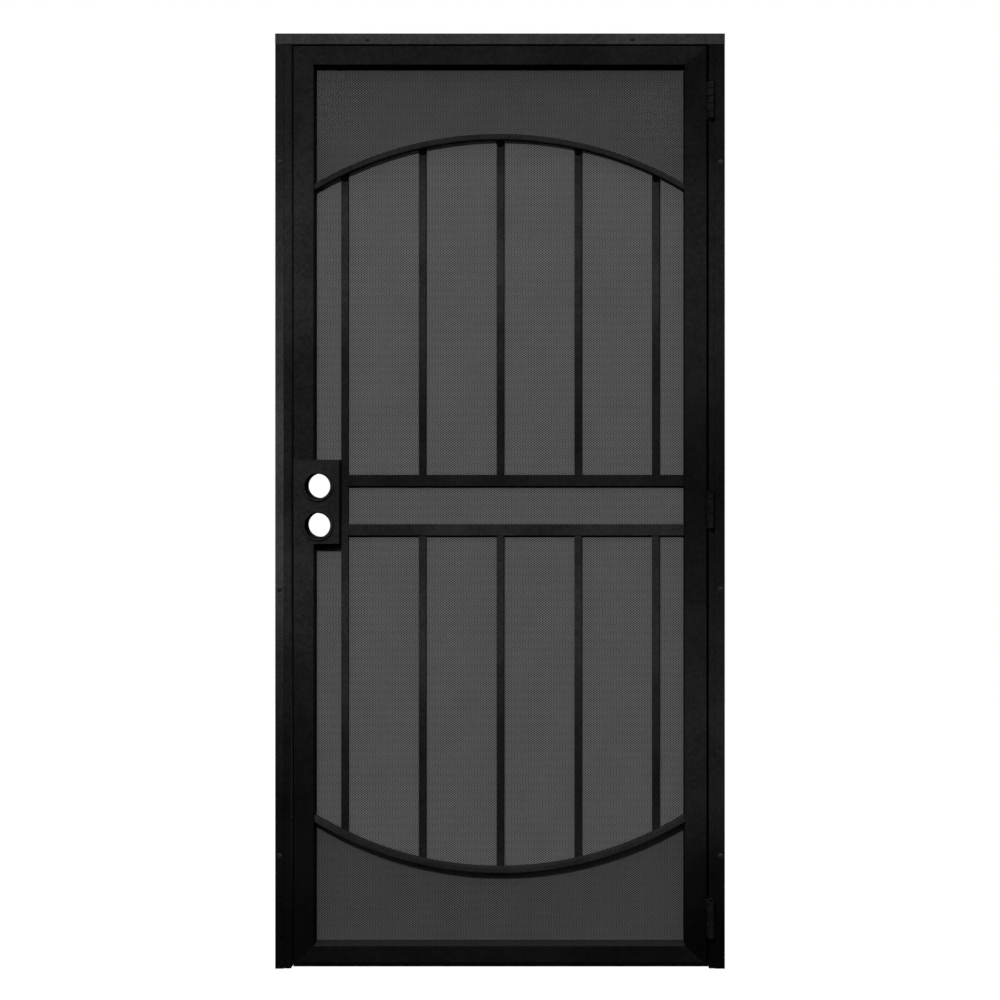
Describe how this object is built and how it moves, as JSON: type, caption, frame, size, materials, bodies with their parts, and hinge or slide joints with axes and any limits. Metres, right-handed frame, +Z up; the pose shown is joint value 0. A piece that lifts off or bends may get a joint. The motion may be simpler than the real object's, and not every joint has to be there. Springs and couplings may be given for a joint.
{
  "type": "steel security screen door",
  "caption": "Surface-mounted steel security screen door with an arched bar grille, expanded metal screen and a hinged leaf bored for a knob and a deadbolt.",
  "frame": {"origin": "on the wall face, at the foot of the hinge jamb, at the middle of the jamb's width", "axes": "+Z up, +Y into the wall, +X from the lock side to the hinge side; the front faces -Y"},
  "size_m": [0.9906, 0.0606, 2.06],
  "materials": {
    "frame": "textured satin black",
    "leaf": "textured satin black",
    "screen": "matt black",
    "hinge": "satin black"
  },
  "bodies": {
    "frame": {"header": "frame", "hinge_jamb": "frame", "strike_jamb": "frame", "strike_strip": "frame", "header_stop": "frame", "hinge_stop": "frame", "strike_stop": "frame", "upper_hinge_jamb_half": "hinge", "middle_hinge_jamb_half": "hinge", "lower_hinge_jamb_half": "hinge", "upper_hinge_pin": "hinge", "middle_hinge_pin": "hinge", "lower_hinge_pin": "hinge"},
    "door": {"bottom_rail": "leaf", "hinge_stile": "leaf", "top_rail": "leaf", "lock_stile_upper": "leaf", "lock_stile_lower": "leaf", "lock_box": "leaf", "upper_lock_collar": "leaf", "lower_lock_collar": "leaf", "upper_arch": "leaf", "lower_arch": "leaf", "left_bar": "leaf", "upper_bar_1": "leaf", "lower_bar_1": "leaf", "upper_bar_2": "leaf", "lower_bar_2": "leaf", "upper_bar_3": "leaf", "lower_bar_3": "leaf", "upper_bar_4": "leaf", "lower_bar_4": "leaf", "upper_lock_rail": "leaf", "lower_lock_rail": "leaf", "screen": "screen", "top_retainer": "leaf", "bottom_retainer": "leaf", "hinge_side_retainer": "leaf", "lock_side_retainer_upper": "leaf", "lock_side_retainer_lower": "leaf", "lock_retainer_top": "leaf", "lock_retainer_bottom": "leaf", "lock_retainer_side": "leaf", "bottom_sweep": "leaf", "upper_hinge_door_half": "hinge", "middle_hinge_door_half": "hinge", "lower_hinge_door_half": "hinge"}
  },
  "joints": [
    {"name": "door_swing", "type": "hinge", "parent": "frame", "child": "door", "pos_m": [-0.0134, -0.0543, 1.0195], "axis": [0, 0, 1], "range_deg": [0, 180]}
  ]
}
